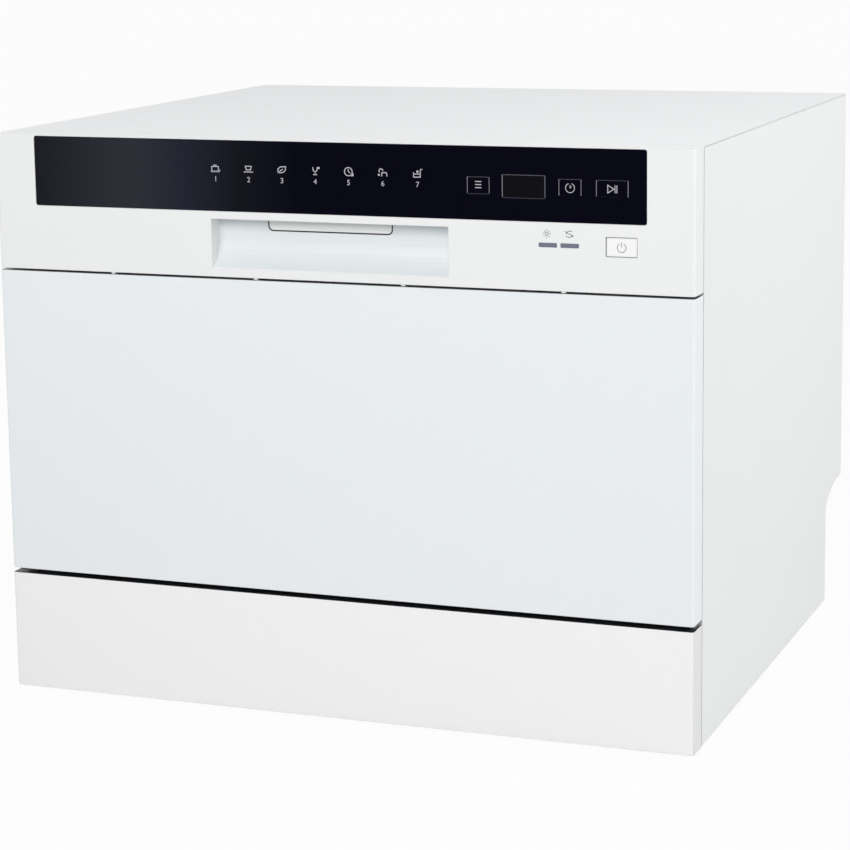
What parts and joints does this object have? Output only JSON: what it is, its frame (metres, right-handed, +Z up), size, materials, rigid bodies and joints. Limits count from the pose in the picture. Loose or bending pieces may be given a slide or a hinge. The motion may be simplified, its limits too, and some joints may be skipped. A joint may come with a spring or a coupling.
{
  "type": "countertop dishwasher",
  "caption": "White compact dishwasher with a drop-down door, black control strip, recessed handle, slide-out rack, cutlery basket, spray arm and filter.",
  "frame": {"origin": "centre of the footprint on the worktop, under the feet", "axes": "+X to the right seen from the front, +Y towards the rear so that the door faces -Y, +Z up"},
  "size_m": [0.55, 0.5, 0.438],
  "materials": {
    "white_enamel": "satin",
    "white_plastic": "satin",
    "stainless": "brushed",
    "zinc_steel": "plain",
    "black_gloss": "gloss",
    "black_plastic": "matte",
    "grey_plastic": "matte",
    "grey_rubber": "matte",
    "black_rubber": "matte",
    "coated_wire": "coated",
    "circuit_board": "matte",
    "lens_grey": "gloss",
    "chrome_pin": "plated"
  },
  "bodies": {
    "cabinet": {"top_cover": "white_enamel", "side_panel_left": "white_enamel", "side_panel_right": "white_enamel", "rear_panel": "zinc_steel", "base_pan": "black_plastic", "connection_panel": "white_plastic", "kick_plate": "white_plastic", "rubber_feet": "black_rubber", "tub": "stainless", "tub_floor": "stainless", "door_seals": "grey_rubber", "door_strike": "zinc_steel", "hinge_brackets": "zinc_steel", "hinge_pins": "chrome_pin", "sump": "grey_plastic", "circulation_pump": "black_plastic", "drain_pump": "black_plastic", "water_heater": "stainless", "water_softener": "white_plastic", "inlet_valve": "white_plastic", "drain_spigot": "black_plastic", "cable_gland": "black_plastic", "air_break": "white_plastic", "power_board": "black_plastic", "float_switch": "black_plastic", "spray_post": "grey_plastic", "flat_filter": "stainless", "cabinet_screws": "zinc_steel"},
    "door": {"outer_door_panel": "white_enamel", "control_panel": "white_plastic", "panel_overlay": "black_gloss", "display_window": "black_gloss", "display_board": "circuit_board", "indicator_lenses": "lens_grey", "inner_door": "stainless", "dispenser": "grey_plastic", "door_latch": "black_plastic", "hinge_arms": "zinc_steel", "door_screws": "zinc_steel"},
    "release_lever": {"release_lever": "white_plastic"},
    "power_button": {"power_button": "white_plastic"},
    "program_button": {"program_button": "black_gloss"},
    "delay_button": {"delay_button": "black_gloss"},
    "start_button": {"start_button": "black_gloss"},
    "detergent_lid": {"detergent_lid": "grey_plastic"},
    "rinse_cap": {"rinse_cap": "grey_plastic"},
    "dish_rack": {"rack_floor": "coated_wire", "rack_walls": "coated_wire", "rack_tines": "coated_wire", "wheel_carriers": "grey_plastic"},
    "wheel_front_left": {"rack_wheel_front_left": "grey_plastic"},
    "wheel_front_right": {"rack_wheel_front_right": "grey_plastic"},
    "wheel_rear_left": {"rack_wheel_rear_left": "grey_plastic"},
    "wheel_rear_right": {"rack_wheel_rear_right": "grey_plastic"},
    "cup_shelf": {"cup_shelf": "grey_plastic"},
    "cutlery_basket": {"cutlery_basket": "grey_plastic"},
    "spray_arm": {"spray_arm": "stainless"},
    "salt_cap": {"salt_cap": "grey_plastic"},
    "filter_cup": {"filter_cup": "grey_plastic"},
    "float": {"float": "grey_plastic"}
  },
  "joints": [
    {"name": "door_hinge", "type": "hinge", "parent": "cabinet", "child": "door", "pos_m": [0, -0.243, 0.103], "axis": [1, 0, 0], "range_deg": [0, 90]},
    {"name": "release_lever_pivot", "type": "hinge", "parent": "door", "child": "release_lever", "pos_m": [-0.00525, -0.242, 0.414], "axis": [-1, 0, 0], "range_deg": [0, 5], "stiffness_Nm_per_rad": 0.3},
    {"name": "power_press", "type": "slide", "parent": "door", "child": "power_button", "axis": [0, 1, 0], "range_m": [0, 0.0007], "stiffness_N_per_m": 900},
    {"name": "program_press", "type": "slide", "parent": "door", "child": "program_button", "axis": [0, 1, 0], "range_m": [0, 0.0007], "stiffness_N_per_m": 900},
    {"name": "delay_press", "type": "slide", "parent": "door", "child": "delay_button", "axis": [0, 1, 0], "range_m": [0, 0.0007], "stiffness_N_per_m": 900},
    {"name": "start_press", "type": "slide", "parent": "door", "child": "start_button", "axis": [0, 1, 0], "range_m": [0, 0.0007], "stiffness_N_per_m": 900},
    {"name": "detergent_lid_slide", "type": "slide", "parent": "door", "child": "detergent_lid", "axis": [1, 0, 0], "range_m": [0, 0.054]},
    {"name": "rinse_cap_turn", "type": "hinge", "parent": "door", "child": "rinse_cap", "pos_m": [0.053, -0.232, 0.25815], "axis": [0, 1, 0], "range_deg": [0, 90]},
    {"name": "rack_slide", "type": "slide", "parent": "cabinet", "child": "dish_rack", "axis": [0, -1, 0], "range_m": [0, 0.17]},
    {"name": "wheel_front_left_spin", "type": "hinge", "parent": "dish_rack", "child": "wheel_front_left", "pos_m": [-0.203, -0.078, 0.1298], "axis": [1, 0, 0], "range_deg": [0, 850]},
    {"name": "wheel_front_right_spin", "type": "hinge", "parent": "dish_rack", "child": "wheel_front_right", "pos_m": [0.203, -0.078, 0.1298], "axis": [1, 0, 0], "range_deg": [0, 850]},
    {"name": "wheel_rear_left_spin", "type": "hinge", "parent": "dish_rack", "child": "wheel_rear_left", "pos_m": [-0.203, 0.1295, 0.1298], "axis": [1, 0, 0], "range_deg": [0, 850]},
    {"name": "wheel_rear_right_spin", "type": "hinge", "parent": "dish_rack", "child": "wheel_rear_right", "pos_m": [0.203, 0.1295, 0.1298], "axis": [1, 0, 0], "range_deg": [0, 850]},
    {"name": "cup_shelf_fold", "type": "hinge", "parent": "dish_rack", "child": "cup_shelf", "pos_m": [-0.2115, 0, 0.242], "axis": [0, -1, 0], "range_deg": [0, 88]},
    {"name": "cutlery_basket_lift", "type": "slide", "parent": "dish_rack", "child": "cutlery_basket", "axis": [0, 0, 1], "range_m": [0, 0.11]},
    {"name": "spray_arm_spin", "type": "hinge", "parent": "cabinet", "child": "spray_arm", "pos_m": [0, -0.01, 0.125], "axis": [0, 0, 1], "continuous": true},
    {"name": "salt_cap_turn", "type": "hinge", "parent": "cabinet", "child": "salt_cap", "pos_m": [-0.12, -0.06, 0.112], "axis": [0, 0, 1], "range_deg": [0, 330]},
    {"name": "filter_cup_turn", "type": "hinge", "parent": "cabinet", "child": "filter_cup", "pos_m": [0.078, -0.01, 0.1], "axis": [0, 0, 1], "range_deg": [0, 60]},
    {"name": "float_rise", "type": "slide", "parent": "cabinet", "child": "float", "axis": [0, 0, 1], "range_m": [0, 0.008]}
  ],
  "couplings": [
    {"joint": "rack_slide", "follows": "door_hinge", "m_per_rad": 0.108},
    {"joint": "wheel_front_left_spin", "follows": "door_hinge", "ratio": 9.3913},
    {"joint": "wheel_front_right_spin", "follows": "door_hinge", "ratio": 9.3913},
    {"joint": "wheel_rear_left_spin", "follows": "door_hinge", "ratio": 9.3913},
    {"joint": "wheel_rear_right_spin", "follows": "door_hinge", "ratio": 9.3913}
  ]
}
